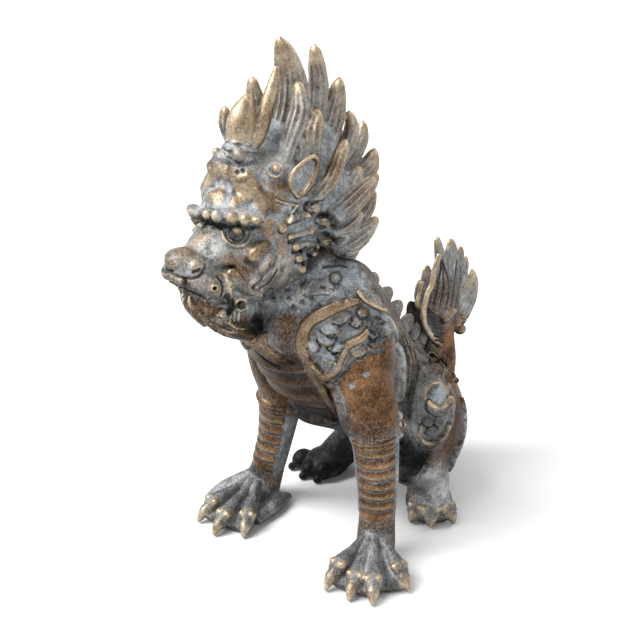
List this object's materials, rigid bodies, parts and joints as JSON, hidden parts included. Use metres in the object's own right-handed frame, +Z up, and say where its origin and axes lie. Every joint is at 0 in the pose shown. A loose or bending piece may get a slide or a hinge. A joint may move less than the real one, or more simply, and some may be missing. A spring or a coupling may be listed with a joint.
{
  "type": "seated qilin figure",
  "caption": "Cast bronze qilin, a horned and scaled guardian beast, seated on its haunches with flame-lock mane and upright tufted tail.",
  "frame": {"origin": "middle of the footprint box, on the floor under the feet", "axes": "+Z up, the animal looks along -Y and its left side is +X"},
  "size_m": [0.1944, 0.3162, 0.3833],
  "materials": {
    "bronze": "patinated cast bronze, dark brown with blue-grey dust in the hollows and rubbed golden edges"
  },
  "bodies": {
    "root": {"qilin": "bronze"}
  },
  "joints": []
}
